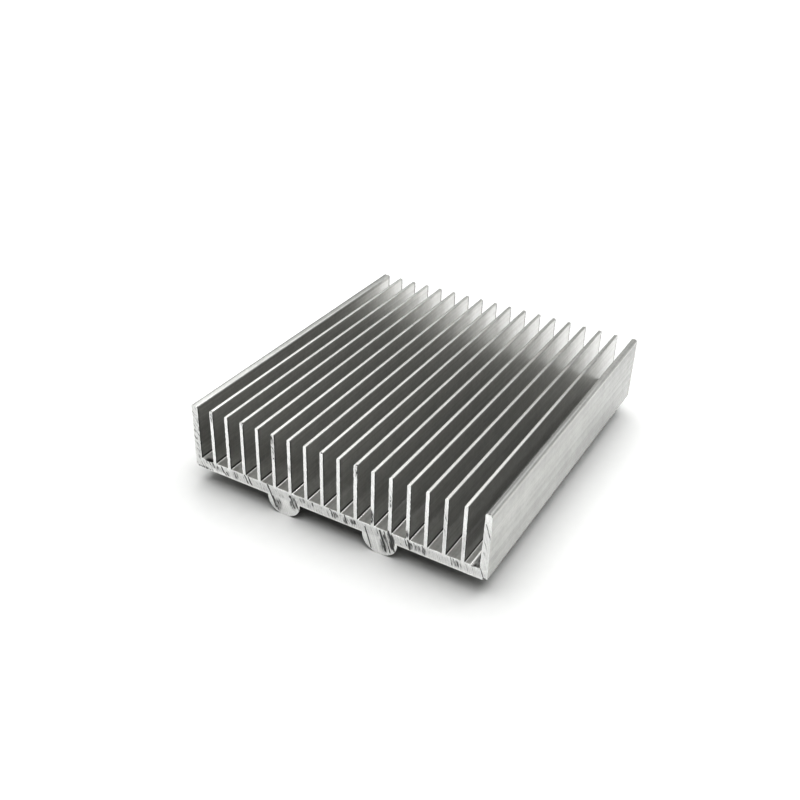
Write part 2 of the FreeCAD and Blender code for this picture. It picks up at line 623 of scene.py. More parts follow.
@dataclass(frozen=True)
class EdgeWear:
    """Burrs and bevels along the edges of the sawn ends, in millimetres."""

    section: Section
    bevel: float = 0.04
    floor_bevel: float = 0.13
    floor_bevel_least: float = 0.75
    floor_bevel_swell: Ripple = Ripple(0.6, 0.8)
    floor_bevel_row: float = 1.0
    floor_reach: float = 0.3
    foot_span: Span = (0.2, 1.2)
    tip_span: Span = (0.1, 0.6)
    fin_wave: float = 0.06
    fin_swell: float = 0.02
    coarse_wave: Ripple = Ripple(1.0, 0.75)
    coarse_stride: float = 3.7
    right_side_stride: float = 2.0
    right_side_share: float = 0.8
    fine_wave: Ripple = Ripple(0.6, 0.32, pattern=1.0)
    fine_stride: float = 5.1
    rough_fins: tuple[int, ...] = (2, 3, 6, 11, 13, 14)
    rough_share: float = 1.9
    lip_reach: float = 0.3
    floor_burr: float = 0.1
    burr_teeth: Ripple = Ripple(1.0, 0.35)
    burr_teeth_row: float = 3.0
    burr_teeth_span: Span = (0.15, 0.6)
    burr_runs: Ripple = Ripple(1.0, 3.0)
    burr_runs_row: float = 9.0
    burr_runs_span: Span = (0.0, 0.4)
    ridge: float = 0.06
    ridge_reach: float = 0.28
    ridge_least: float = 0.25
    ridge_side_share: float = 0.5
    bevel_seeds: ClassVar[dict[End, float]] = {End.NEAR: 31.0, End.FAR: 37.0}
    lip_seeds: ClassVar[dict[End, float]] = {End.NEAR: 11.0, End.FAR: 23.0}

    def is_floor(self, z: float, outward: Point) -> bool:
        """Whether a point of the outline is on a channel floor."""
        return outward[1] > LEVEL and z < self.section.floor_level + self.floor_reach

    def chamfer(self, x: float, z: float, outward: Point, end: End) -> float:
        """Width of the bevel along the rim.

        Args:
            x: Place of the point across the section.
            z: Height of the point.
            outward: Direction out of the metal.
            end: Which end it is.

        Returns:
            The width, larger and uneven along the channel floors.
        """
        if not self.is_floor(z, outward):
            return self.bevel
        swell = self.floor_bevel_swell.at(x, self.floor_bevel_row, self.bevel_seeds[end])
        return self.floor_bevel * (self.floor_bevel_least + swell)

    def rise(self, outward: Point, distance: float) -> float:
        """How far the sawn face stands proud near its rim.

        Args:
            outward: Direction out of the metal at the nearest point of the rim.
            distance: Distance to that point.

        Returns:
            A height towards the saw, largest at the lower and right edges.
        """
        facing = max(0.0, -outward[1], self.ridge_side_share * abs(outward[0]))
        share = min(1.0, self.ridge_least + facing)
        return self.ridge * share * math.exp(-distance / self.ridge_reach)

    def lip(self, x: float, z: float, outward: Point, end: End) -> float:
        """How far the sawn edge stands out from the section's outline.

        Args:
            x: Place of the point across the section.
            z: Height of the point.
            outward: Direction out of the metal.
            end: Which end it is.

        Returns:
            The distance along outward, negative where the edge is worn back.
        """
        part = self.section
        if abs(x) > part.wall_middle or z < part.floor_level - self.floor_reach:
            return 0.0
        seed = self.lip_seeds[end]
        fin = round((x - part.first_channel) / part.pitch)
        on_right = outward[0] > 0
        share = smooth_step(z - part.floor_level, *self.foot_span)
        share *= smooth_step(part.tip_level - z, *self.tip_span)
        share *= self.rough_share if fin + 1 in self.rough_fins else 1.0
        share *= self.right_side_share if on_right else 1.0
        side_row = self.right_side_stride if on_right else 0.0
        wave = self.coarse_wave.at(z, fin * self.coarse_stride + side_row, seed)
        wave += self.fine_wave.at(z, fin * self.fine_stride, seed)
        lip = share * (self.fin_wave * wave + self.fin_swell)
        if self.is_floor(z, outward):
            teeth = smooth_step(self.burr_teeth.at(x, self.burr_teeth_row, seed),
                                *self.burr_teeth_span)
            runs = smooth_step(self.burr_runs.at(x, self.burr_runs_row, seed),
                               *self.burr_runs_span)
            lip += self.floor_burr * teeth * runs
        return lip


@dataclass(frozen=True)
class ExtrudedShadeAndDents:
    """How much painted shade and painted highlight the extruded faces get, and how deep their dents
    are: dark lines at the fins' roots and behind the sawn edges, darker walls and fin sides, lighter
    far ends, shaded bands along the tips and painted shade in the dents.
    """

    section: Section
    half_length: float
    dents: tuple[FloorDent, ...]
    # Painted shade: a dark line along each fin's root, in the crease just above the channel floor
    root_shade: float = 0.9
    root_foot: Span = (0.05, 0.14)
    root_head: Span = (0.42, 0.62)
    # Painted highlight along the rounded roots, stronger towards the right
    root_highlight: float = 0.8
    root_highlight_least: float = 0.25
    root_highlight_span: Span = (-28.0, -10.0)
    strip_shade: float = 0.6
    # Painted shade: dark lines along the fins' sides just behind the sawn edges
    rim_shade: float = 0.85
    rim_span: Span = (0.25, 0.6)
    rim_below_tip: float = 0.2
    # Painted shade on the right wall's outer face, growing towards the far end and the top
    wall_shade: float = 0.1
    wall_growth: float = 2.0
    wall_growth_span: Span = (0.0, 35.0)
    wall_top_shade: float = 0.14
    wall_top_start: float = 18.0
    # Painted shade on the right-hand fins' sides, and a painted reflection lightening all fin sides
    # towards the far end
    side_shade: float = 0.12
    side_span: Span = (0.0, 35.0)
    far_reflection: float = 0.34
    far_span: Span = (5.0, 42.0)
    # Painted shade on the left round of each fin's tip
    tip_shade: float = 0.5
    tip_facing: Point = (-0.45, 0.1)
    # Painted shade in bands across the walls' tips, fading towards the far end
    band_margin: float = 0.1
    band_fade: float = 1.2
    band_fade_span: Span = (-20.0, 35.0)
    right_tip_shading: tuple[Point, ...] = ((0.35, 0.6), (0.8, 0.65), (1.05, 0.85), (1.25, 0.75),
                                      (1.5, 0.5), (1.75, 0.45), (2.1, 0.1))
    left_tip_shading: tuple[Point, ...] = ((0.0, 0.7), (0.3, 0.85), (0.6, 0.35), (0.9, 0.1))

    def sink(self, x: float, y: float, outward: Point) -> float:
        """How far the dents push down a channel floor.

        Args:
            x: Place of the point across the section.
            y: Place of the point along the extrusion.
            outward: Direction out of the metal.

        Returns:
            The distance, 0 where the face is no floor.
        """
        if outward[1] < LEVEL:
            return 0.0
        return sum(dent.depth * dent.share(x, y) for dent in self.dents)

    def at(self, x: float, y: float, z: float, outward: Point) -> float:
        """How much painted shade, or painted highlight, an extruded face gets at a point.

        Args:
            x: Place of the point across the section.
            y: Place of the point along the extrusion.
            z: Height of the point.
            outward: Direction out of the metal.

        Returns:
            A number from 0, clean, to 1, dark with painted shade, and below 0 where a highlight or
            reflection is painted.
        """
        part = self.section
        is_upright = abs(outward[0]) > UPRIGHT
        if z > part.tip_level - part.wall_thickness / 2:
            wear_and_shading = self.tip(x, y, outward)
        elif x > part.wall_middle:
            wear_and_shading = self.right_wall(y, z, outward)
        elif x < -part.wall_middle or z < part.floor_level - part.base_thickness / 2:
            wear_and_shading = 0.0
        elif is_upright:
            above = z - part.floor_level
            # Painted shade in the crease at the fin's root
            root = smooth_step(above, *self.root_foot) * (1.0 - smooth_step(above, *self.root_head))
            wear_and_shading = self.root_shade * root if root > 0.0 else self.fin_side(x, y)
        elif abs(outward[0]) > SLANTING:
            # Painted highlight on the rounded root between fin and floor
            spread = (1.0 - self.root_highlight_least) * smooth_step(x, *self.root_highlight_span)
            return -self.root_highlight * (self.root_highlight_least + spread)
        else:
            wear_and_shading = self.floor(x, y)
        # Painted shade just behind the sawn edges
        rim = self.rim_shade * (1.0 - smooth_step(self.half_length - abs(y), *self.rim_span))
        is_side = abs(x) < part.wall_middle and z < part.tip_level - self.rim_below_tip
        return max(wear_and_shading, rim) if rim > 0.0 and is_upright and is_side else wear_and_shading

    def right_wall(self, y: float, z: float, outward: Point) -> float:
        """How much painted shade darkens the right wall's outer face: more towards its top and the
        far end.

        Args:
            y: Place of the point along the extrusion.
            z: Height of the point.
            outward: Direction out of the metal.

        Returns:
            A number from 0, clean, to 1.
        """
        growth = 1.0 + self.wall_growth * smooth_step(y, *self.wall_growth_span)
        top = smooth_step(z, self.wall_top_start, self.section.tip_level)
        return self.wall_shade * growth * max(0.0, outward[0]) + self.wall_top_shade * top

    def floor(self, x: float, y: float) -> float:
        """How dark a channel floor is painted, in its dents and beside the last channel's step.

        Args:
            x: Place of the point across the section.
            y: Place of the point along the extrusion.

        Returns:
            A number from 0, clean, to 1.
        """
        part = self.section
        dark = max((dent.dark * dent.share(x, y) for dent in self.dents), default=0.0)
        step_end = part.last_channel + part.die_step_place + part.die_step_run
        return max(dark, self.strip_shade) if x > step_end else dark

    def fin_side(self, x: float, y: float) -> float:
        """How much painted shade darkens a fin's side, and how much a painted reflection lightens it
        towards the far end.
        """
        far = smooth_step(y, *self.far_span)
        return self.side_shade * smooth_step(x, *self.side_span) * (1.0 - far) - self.far_reflection * far

    def tip(self, x: float, y: float, outward: Point) -> float:
        """How much painted shade or highlight a tip gets at a point, with bands of painted shade
        along the walls' tips.

        Args:
            x: Place of the point across the section.
            y: Place of the point along the extrusion.
            outward: Direction out of the metal.

        Returns:
            A number from 0, clean, to 1, and below 0 where a reflection is painted.
        """
        part = self.section
        inner = part.half_width - part.wall_thickness
        # Bands of painted shade along the walls' tips
        if x > inner - self.band_margin:
            fade = 1.0 - self.band_fade * smooth_step(y, *self.band_fade_span)
            return fade * self.band(self.right_tip_shading, x - inner)
        if x < self.band_margin - inner:
            return self.band(self.left_tip_shading, x + part.half_width)
        facing_x, facing_z = self.tip_facing
        # Painted shade on the left round of a fin's tip
        if outward[1] > facing_z:
            return self.tip_shade if outward[0] < facing_x else 0.0
        return self.fin_side(x, y) if abs(outward[0]) > UPRIGHT else 0.0

    @staticmethod
    def band(bands: tuple[Point, ...], place: float) -> float:
        """Read a tone between bands.

        Args:
            bands: A place and a tone for each band, from left to right.
            place: Where to read.

        Returns:
            The tone there.
        """
        for (low, first), (high, second) in zip(bands, bands[1:]):
            if place < high:
                return first + (second - first) * max(0.0, (place - low) / (high - low))
        return bands[-1][1]


@dataclass(frozen=True)
class Grain:
    """Noise in a finish: its bumps in one unit of each coordinate, and its weight in a sum."""

    bumps: Place
    detail: float
    roughness: float = 0.5
    weight: float = 1.0


class NodeSketch:
    """A node tree whose nodes are added one after another."""

    # Numbers of the mix node's colour sockets, which share their names with its other sockets
    first_colour: ClassVar[int] = 6
    second_colour: ClassVar[int] = 7
    mixed_colour: ClassVar[int] = 2

    def __init__(self, tree: bpy.types.NodeTree) -> None:
        """Start on a tree."""
        self.tree = tree

    def feed(self, sockets: bpy.types.bpy_prop_collection, values: dict[str | int, Value]) -> None:
        """Link sockets to others, or set them.

        Args:
            sockets: Inputs of one node.
            values: The socket, number, vector or colour for each input to be fed.
        """
        for name, value in values.items():
            if isinstance(value, Socket):
                self.tree.links.new(value, sockets[name])
            elif sockets[name].type == "RGBA":
                sockets[name].default_value = (*value, 1.0)
            else:
                sockets[name].default_value = value

    def add(self, kind: str, output: str | int, values: dict[str | int, Value],
            **options: str) -> Socket:
        """Add a node.

        Args:
            kind: Its type, without the words that all of them start with.
            output: Which output to hand back.
            values: What its inputs are fed.
            options: Its own options.

        Returns:
            The output.
        """
        node = self.tree.nodes.new("ShaderNode" + kind)
        for name, option in options.items():
            setattr(node, name, option)
        self.feed(node.inputs, values)
        return node.outputs[output]

    def math(self, operation: str, first: Value, second: Value = 0.0) -> Socket:
        """A sum, product or other result of two numbers."""
        return self.add("Math", "Value", {0: first, 1: second}, operation=operation)

    def spread(self, value: Socket, start: Span, result: Span,
               curve: str = "SMOOTHSTEP") -> Socket:
        """Carry a number from one span to another, and stop at its ends.

        Args:
            value: The number.
            start: The span that it comes from.
            result: The span that it is carried to.
            curve: How it runs between the ends.

        Returns:
            The number in its new span.
        """
        return self.add("MapRange", "Result", {
            "Value": value, "From Min": start[0], "From Max": start[1],
            "To Min": result[0], "To Max": result[1]}, interpolation_type=curve)

    def mix(self, share: Socket, first: Value, second: Value) -> Socket:
        """A colour that goes from the first to the second as the share grows."""
        return self.add("Mix", self.mixed_colour, {
            0: share, self.first_colour: first, self.second_colour: second}, data_type="RGBA")

    def parts(self, vector: Socket) -> bpy.types.bpy_prop_collection:
        """Take a vector apart.

        Args:
            vector: The vector.

        Returns:
            Outputs named X, Y and Z.
        """
        node = self.tree.nodes.new("ShaderNodeSeparateXYZ")
        self.tree.links.new(vector, node.inputs["Vector"])
        return node.outputs


class MaterialSketch(NodeSketch):
    """A material with one surface shader, whose nodes are added one after another."""

    def __init__(self, name: str) -> None:
        """Start a material with its output and its surface shader.

        Args:
            name: The material's name.
        """
        self.material = bpy.data.materials.new(name)
        self.material.use_nodes = True
        super().__init__(self.material.node_tree)
        self.tree.nodes.clear()
        self.shader = self.tree.nodes.new("ShaderNodeBsdfPrincipled")
        output = self.tree.nodes.new("ShaderNodeOutputMaterial")
        self.tree.links.new(self.shader.outputs["BSDF"], output.inputs["Surface"])

    def place(self) -> Socket:
        """The place on the object, in metres."""
        return self.add("TexCoord", "Object", {})

    def grain(self, grain: Grain, place: Socket | None = None) -> Socket:
        """Noise over a place, from 0 to 1.

        Args:
            grain: What the noise is like.
            place: The place, if not the one on the object.

        Returns:
            The noise.
        """
        scaled = self.add("Mapping", "Vector", {"Vector": place or self.place(),
                                                "Scale": grain.bumps})
        return self.add("TexNoise", "Fac", {"Vector": scaled, "Scale": 1.0, "Detail": grain.detail,
                                            "Roughness": grain.roughness})

    def wear_and_shading(self) -> Socket:
        """How worn the mesh says that each point is."""
        # The wear and painted shading that the mesh gives each point.
        return self.add("Attribute", "Fac", {}, attribute_name=WEAR_AND_SHADING)

    def bump(self, height: Socket, strength: float, distance: float) -> Socket:
        """The surface's direction once a height in metres raises it."""
        return self.add("Bump", "Normal", {"Height": height, "Strength": strength,
                                           "Distance": distance})

    def finished(self, values: dict[str, Value]) -> bpy.types.Material:
        """Feed the surface shader, and hand back the material."""
        self.feed(self.shader.inputs, values)
        return self.material


@dataclass(frozen=True)
class MillFinish:
    """Bare extruded aluminium: a bright skin over metal that scatters across the die's lines."""

    light: Colour = (0.65, 0.65, 0.628)
    dark: Colour = (0.51, 0.51, 0.49)
    # Colours that the mesh's painted highlight and painted shade, the dents' darkness among it, mix
    # towards
    highlight_colour: Colour = (0.97, 0.97, 0.965)
    worn_and_shaded: Colour = (0.05, 0.05, 0.048)
    smooth: float = 0.4
    dull: float = 0.5
    highlight_smoothing: float = 0.2
    # Bands, clouds, mottles and drawn lines
    tones: tuple[Grain, ...] = (
        Grain((1100.0, 6.0, 1100.0), 2.0, weight=0.3),
        Grain((120.0, 160.0, 90.0), 3.0, weight=0.25),
        Grain((900.0, 900.0, 900.0), 3.0, 0.6, 0.25),
        Grain((2600.0, 9.0, 2600.0), 2.0, weight=0.2),
    )
    tone_span: Span = (0.35, 0.65)
    lines: Grain = Grain((6500.0, 12.0, 6500.0), 1.0)
    line_strength: float = 0.4
    line_depth: float = 0.0000008
    scatter_across: float = 0.85
    scatter_turn: float = 0.25
    along_extrusion: Place = (0.0, 1.0, 0.0)
    skin_ior: float = 2.2
    skin_roughness: float = 0.1
    skin_shaded_span: Span = (0.8, 1.0)
    skin_left: Span = (1.0, 0.2)

    def build(self) -> bpy.types.Material:
        """Make the material.

        Returns:
            The material, for the extruded faces.
        """
        sketch = MaterialSketch("mill_finish_aluminium")
        parts = [sketch.math("MULTIPLY", sketch.grain(grain), grain.weight)
                 for grain in self.tones]
        tone = parts[0]
        for part in parts[1:]:
            tone = sketch.math("ADD", tone, part)
        clean = sketch.mix(sketch.spread(tone, self.tone_span, (0.0, 1.0)), self.dark, self.light)
        wear_and_shading = sketch.wear_and_shading()
        # Painted highlight below 0, painted shade towards 1
        highlight = sketch.spread(wear_and_shading, (-1.0, 0.0), (1.0, 0.0))
        bright = sketch.mix(highlight, clean, self.highlight_colour)
        rough = sketch.spread(tone, self.tone_span, (self.dull, self.smooth))
        smoothing = sketch.math("MULTIPLY", highlight, self.highlight_smoothing)
        across, along, up = self.along_extrusion
        return sketch.finished({
            "Base Color": sketch.mix(wear_and_shading, bright, self.worn_and_shaded),
            "Roughness": sketch.math("SUBTRACT", rough, smoothing),
            "Metallic": 1.0,
            "Anisotropic": self.scatter_across,
            "Anisotropic Rotation": self.scatter_turn,
            "Tangent": sketch.add("CombineXYZ", "Vector", {"X": across, "Y": along, "Z": up}),
            # The skin fades where the painted shade is darkest
            "Coat Weight": sketch.spread(wear_and_shading, self.skin_shaded_span, self.skin_left),
            "Coat IOR": self.skin_ior,
            "Coat Roughness": self.skin_roughness,
            "Normal": sketch.bump(sketch.grain(self.lines), self.line_strength, self.line_depth),
        })


@dataclass(frozen=True)
class SawnFinish:
    """Aluminium as the saw leaves it: fine arcs about the blade's hub, dark where it is torn and
    where painted shade darkens it.
    """

    blade: Point
    light: Colour = (0.96, 0.96, 0.95)
    dark: Colour = (0.8, 0.8, 0.791)
    torn: Colour = (0.07, 0.07, 0.07)
    smooth: float = 0.26
    rough: float = 0.42
    arcs: Grain = Grain((3200.0, 14.0, 40.0), 4.0, 0.65, 0.7)
    fine: Grain = Grain((2400.0, 2400.0, 2400.0), 2.0, weight=0.3)
    tone_span: Span = (0.36, 0.64)
    rough_span: Span = (0.3, 0.7)
    smooth_wear_and_shade: float = 0.55
    streaks: Grain = Grain((2600.0, 60.0, 40.0), 3.0, weight=2.2)
    streak_middle: float = 0.5
    streaked_wear: float = 1.45
    streaked_start: float = 0.05
    torn_span: Span = (0.42, 0.95)
    torn_full: float = 0.85
    arc_strength: float = 0.5
    arc_depth: float = 0.00002

    def build(self) -> bpy.types.Material:
        """Make the material.

        Returns:
            The material, for the sawn ends.
        """
        sketch = MaterialSketch("sawn_aluminium")
        about_hub = self.place_about_hub(sketch)
        arcs = sketch.math("MULTIPLY", sketch.grain(self.arcs, about_hub), self.arcs.weight)
        fine = sketch.math("MULTIPLY", sketch.grain(self.fine), self.fine.weight)
        tone = sketch.math("ADD", arcs, fine)
        clean = sketch.mix(sketch.spread(tone, self.tone_span, (0.0, 1.0)), self.dark, self.light)
        wear_and_shading = sketch.wear_and_shading()
        # Even darkening towards the torn colour: real tears, and painted shade on the far face and
        # across the near face's base and left wall
        dull = sketch.mix(sketch.math("MULTIPLY", wear_and_shading, self.smooth_wear_and_shade), clean, self.torn)
        uneven = sketch.math("SUBTRACT", sketch.grain(self.streaks, about_hub), self.streak_middle)
        streak = sketch.math("MULTIPLY", uneven, self.streaks.weight)
        strong = sketch.math("SUBTRACT", sketch.math("MULTIPLY", wear_and_shading, self.streaked_wear),
                             self.streaked_start)
        worn_and_shaded = sketch.math("ADD", strong, streak)
        return sketch.finished({
            "Base Color": sketch.mix(sketch.spread(worn_and_shaded, self.torn_span, (0.0, self.torn_full)),
                                     dull, self.torn),
            "Roughness": sketch.spread(tone, self.rough_span, (self.rough, self.smooth)),
            "Metallic": 1.0,
            "Normal": sketch.bump(tone, self.arc_strength, self.arc_depth),
        })

    def place_about_hub(self, sketch: MaterialSketch) -> Socket:
        """A place given by its distance from the blade's hub, its angle there and its Y.

        Args:
            sketch: The material.

        Returns:
            The place, as a vector.
        """
        parts = sketch.parts(sketch.place())
        out_x = sketch.math("SUBTRACT", parts["X"], self.blade[0] * MM)
        out_z = sketch.math("SUBTRACT", parts["Z"], self.blade[1] * MM)
        squares = sketch.math("ADD", sketch.math("MULTIPLY", out_x, out_x),
                              sketch.math("MULTIPLY", out_z, out_z))
        return sketch.add("CombineXYZ", "Vector", {
            "X": sketch.math("SQRT", squares), "Y": sketch.math("ARCTAN2", out_z, out_x),
            "Z": parts["Y"]})


@dataclass(frozen=True)
class PaperFinish:
    """The plain white surface that the piece stands on, lit more strongly well away from it."""

    colour: Colour = (0.926, 0.93, 0.923)
    shade: Colour = (0.906, 0.91, 0.903)
    fibres: Grain = Grain((300.0, 300.0, 300.0), 2.0)
    roughness: float = 0.95
    gloss: float = 0.1
    glow: float = 0.6
    glow_span: Span = (0.2, 0.6)

    def build(self) -> bpy.types.Material:
        """Make the material.

        Returns:
            The material, for the floor.
        """
        sketch = MaterialSketch("white_paper")
        distance = sketch.add("VectorMath", "Value", {0: sketch.place()}, operation="LENGTH")
        return sketch.finished({
            "Base Color": sketch.mix(sketch.grain(self.fibres), self.shade, self.colour),
            "Roughness": self.roughness,
            "Specular IOR Level": self.gloss,
            "Emission Color": WHITE,
            "Emission Strength": sketch.spread(distance, self.glow_span, (0.0, self.glow)),
        })


@dataclass(frozen=True)
class SawnFace:
    """Inner points of a sawn face: a square grid within its rim, and more along its marks."""

    section: Section
    rim: list[Point]
    cut: SawCut
    spacing: float = 0.25
    margin: float = 0.13
    mark_margin: float = 0.12
    mark_cell: float = 0.05

    def inner_points(self) -> list[Point]:
        """Find all the inner points.

        Returns:
            Points that keep a margin from the rim, those along the marks last.
        """
        marks = [(x, z) for x, z in self.cut.mark_places()
                 if self.is_inside(x, self.crossings(z, 1))
                 and self.is_inside(z, self.crossings(x, 0))]
        tree = kdtree.KDTree(len(marks))
        for index, (x, z) in enumerate(marks):
            tree.insert((x, z, 0.0), index)
        tree.balance()
        kept = [(x, z) for x, z in self.grid()
                if not marks or tree.find((x, z, 0.0))[2] > self.mark_margin]
        return kept + self.thinned(marks)

    def thinned(self, places: list[Point]) -> list[Point]:
        """Drop places that lie almost on an earlier one.

        Args:
            places: The places.

        Returns:
            At most one place for each small cell.
        """
        kept: dict[tuple[int, int], Point] = {}
        for x, z in places:
            kept.setdefault((round(x / self.mark_cell), round(z / self.mark_cell)), (x, z))
        return list(kept.values())

    def grid(self) -> list[Point]:
        """Lay the square grid.

        Returns:
            Points of the grid that keep a margin from the rim.
        """
        part = self.section
        step = self.spacing
        first_fin = part.first_channel + part.channel_width
        start = first_fin - step * math.ceil((first_fin + part.half_width) / step)
        columns = [start + step * index for index in range(int(2 * part.half_width / step) + 2)]
        rows = [step * (index + 0.5) for index in range(int(part.tip_level / step) + 1)]
        by_row = {row: self.crossings(row, 1) for row in rows}
        by_column = {column: self.crossings(column, 0) for column in columns}
        return [(column, row) for column in columns for row in rows
                if self.is_inside(column, by_row[row]) and self.is_inside(row, by_column[column])]

    def crossings(self, level: float, axis: int) -> list[float]:
        """Where a straight line crosses the rim.

        Args:
            level: The line's place on its own axis.
            axis: 0 for an upright line at x = level, 1 for a level line at z = level.

        Returns:
            Places of the crossings along the line, in order.
        """
        places = []
        other = 1 - axis
        for start, end in zip(self.rim, self.rim[1:] + self.rim[:1]):
            if (start[axis] > level) != (end[axis] > level):
                share = (level - start[axis]) / (end[axis] - start[axis])
                places.append(start[other] + share * (end[other] - start[other]))
        return sorted(places)

    def is_inside(self, place: float, crossings: list[float]) -> bool:
        """Whether a place on a line is in the metal and clear of its rim."""
        pairs = zip(crossings[0::2], crossings[1::2])
        return any(low + self.margin < place < high - self.margin for low, high in pairs)


@dataclass
class MeshDraft:
    """A mesh in the making: points in metres, faces, and the wear and painted shading of each point.
    """

    vertices: list[Place]
    faces: list[tuple[int, ...]] = field(default_factory=list)
    wear_and_shading: list[float] = field(default_factory=list)


@dataclass(frozen=True)
class HeatSinkExtrusion:
    """The whole piece: fins, walls, base and ribs between two sawn ends."""

    section: Section
    half_length: float
    cuts: dict[End, SawCut]
    edge_wear: EdgeWear
    face_shade_and_dents: ExtrudedShadeAndDents
    end_slices: tuple[float, ...] = (0.0, 0.05, 0.13, 0.26, 0.5, 0.9, 1.5, 2.4, 4.0)
    middle_slices: tuple[float, ...] = (-30.0, 0.0, 30.0)
    relief_inset: float = 0.1
    relief_reach: float = 0.6
    sharp_angle: float = 32.0
    merge_distance: float = 1e-5
    inside_only: ClassVar[int] = 1

    def outward_normals(self, outline: list[Point]) -> list[Point]:
        """Directions out of the metal at each point of the outline.

        Args:
            outline: The closed outline, anticlockwise.

        Returns:
            One direction of length 1 for each point.
        """
        normals = []
        for before, after in zip(outline[-1:] + outline[:-1], outline[1:] + outline[:1]):
            along = (Vector(after) - Vector(before)).normalized()
            normals.append((along.y, -along.x))
        return normals

    def boxed(self, x: float, y: float, z: float) -> Place:
        """Keep a point inside the piece's own box.

        Args:
            x: Its place across the section, in millimetres.
            y: Its place along the extrusion.
            z: Its height.

        Returns:
            The point, in metres.
        """
        part = self.section
        x = min(max(x, -part.half_width), part.half_width)
        y = min(max(y, -self.half_length), self.half_length)
        z = min(max(z, 0.0), part.tip_level)
        return (x * MM, y * MM, z * MM)

    def slice_points(self, outline: list[Point], normals: list[Point], offset: float,
                     end: End) -> list[Place]:
        """Points of one loop around the piece, near an end.

        Args:
            outline: The section's outline.
            normals: Its outward directions.
            offset: Distance from the end's flat plane, 0 for the rim of the sawn face.
            end: The nearer end.

        Returns:
            One point in metres for each point of the outline.
        """
        points = []
        for (x, z), outward in zip(outline, normals):
            depth = self.cuts[end].relief(x - self.relief_inset * outward[0],
                                          z - self.relief_inset * outward[1])
            depth -= self.edge_wear.rise(outward, 0.0)
            inward = offset + depth * math.exp(-offset / self.relief_reach)
            shift = self.edge_wear.lip(x, z, outward, end)
            shift *= math.exp(-offset / self.edge_wear.lip_reach)
            shift -= max(0.0, self.edge_wear.chamfer(x, z, outward, end) - offset)
            y = end.value * (self.half_length - inward)
            sink = self.face_shade_and_dents.sink(x, y, outward)
            points.append(self.boxed(x + shift * outward[0], y, z + shift * outward[1] - sink))
        return points

    def build(self, mill: bpy.types.Material, sawn: bpy.types.Material) -> bpy.types.Object:
        """Make the piece's mesh and dress it.

        Args:
            mill: Finish of the extruded faces.
            sawn: Finish of the sawn ends.

        Returns:
            The finished piece.
        """
        outline = Outline(self.section).trace()
        normals = self.outward_normals(outline)
        loops = [self.slice_points(outline, normals, offset, End.NEAR)
                 for offset in self.end_slices]
        loops += [[(x * MM, y * MM, z * MM) for x, z in outline] for y in self.middle_slices]
        loops += [self.slice_points(outline, normals, offset, End.FAR)
                  for offset in reversed(self.end_slices)]
        count = len(outline)
        draft = MeshDraft([point for loop in loops for point in loop])
        last_start = (len(loops) - 1) * count
        for start in range(0, last_start, count):
            draft.faces += [(start + index, start + count + index, start + count + after,
                             start + after) for index, after in enumerate([*range(1, count), 0])]
        draft.wear_and_shading = [self.face_shade_and_dents.at(x / MM, y / MM, z / MM, normals[index % count])
                      for index, (x, y, z) in enumerate(draft.vertices)]
        side_faces = len(draft.faces)
        self.add_cap(draft, 0, normals, End.NEAR)
        self.add_cap(draft, last_start, normals, End.FAR)
        slots = [Finish.MILL.value] * side_faces
        slots += [Finish.SAWN.value] * (len(draft.faces) - side_faces)
        for first in (0, side_faces - count):
            slots[first:first + count] = [Finish.SAWN.value] * count
        piece = add_mesh("heat_sink_extrusion", draft.vertices, draft.faces, mill, sawn)
        mesh = piece.data
        mesh.polygons.foreach_set("material_index", slots)
        mesh.attributes.new(WEAR_AND_SHADING, "FLOAT", "POINT").data.foreach_set("value", draft.wear_and_shading)
        mesh.shade_smooth()
        mesh.set_sharp_from_angle(angle=math.radians(self.sharp_angle))
        mesh.validate()
        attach(piece, BODY)
        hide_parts(CAD_NODE)
        return piece

    def add_cap(self, draft: MeshDraft, rim_start: int, normals: list[Point], end: End) -> None:
        """Close one end with its sawn face.

        Args:
            draft: The mesh, which the face's inner points and triangles are added to.
            rim_start: Number of the rim's first point.
            normals: Directions out of the metal along the rim.
            end: The end to close.
        """
        count = len(normals)
        cut = self.cuts[end]
        rim = [(x / MM, z / MM) for x, _, z in draft.vertices[rim_start:rim_start + count]]
        inner = SawnFace(self.section, rim, cut).inner_points()
        places = [Vector(point) for point in rim + inner]
        points, _, triangles, _, _, sources = geometry.delaunay_2d_cdt(
            places, [], [list(range(count))], self.inside_only, self.merge_distance, True)
        if len(points) != len(places):
            raise RuntimeError("points of the sawn face ran together")
        edge = kdtree.KDTree(count)
        for index, (x, z) in enumerate(rim):
            edge.insert((x, z, 0.0), index)
            draft.wear_and_shading[rim_start + index] = cut.wear_and_shading(x, z)
        edge.balance()
        inner_start = len(draft.vertices)
        for x, z in inner:
            _, nearest, distance = edge.find((x, z, 0.0))
            depth = cut.relief(x, z) - self.edge_wear.rise(normals[nearest], distance)
            draft.vertices.append(self.boxed(x, end.value * (self.half_length - depth), z))
            draft.wear_and_shading.append(cut.wear_and_shading(x, z))
        for triangle, source in zip(triangles, sources):
            if source:
                corners = [rim_start + corner if corner < count else inner_start + corner - count
                           for corner in triangle]
                draft.faces.append(tuple(corners if end is End.NEAR else reversed(corners)))


@dataclass(frozen=True)
class Softbox:
    """A soft rectangular light that faces the piece and shows in its reflections."""

    name: str
    place: Place
    width: float
    height: float
    radiance: float
    lights_floor: bool = True
    power_per_radiance: ClassVar[float] = 4.0

    def build(self) -> None:
        """Make the light."""
        lamp = bpy.data.lights.new(self.name, "AREA")
        lamp.shape = "RECTANGLE"
        lamp.size = self.width
        lamp.size_y = self.height
        lamp.energy = self.radiance * self.power_per_radiance * self.width * self.height
        softbox = add_object(self.name, lamp)
        softbox.location = self.place
        softbox.rotation_euler = (-Vector(self.place)).to_track_quat("-Z", "Y").to_euler()
        softbox.visible_camera = False
        softbox.visible_diffuse = self.lights_floor


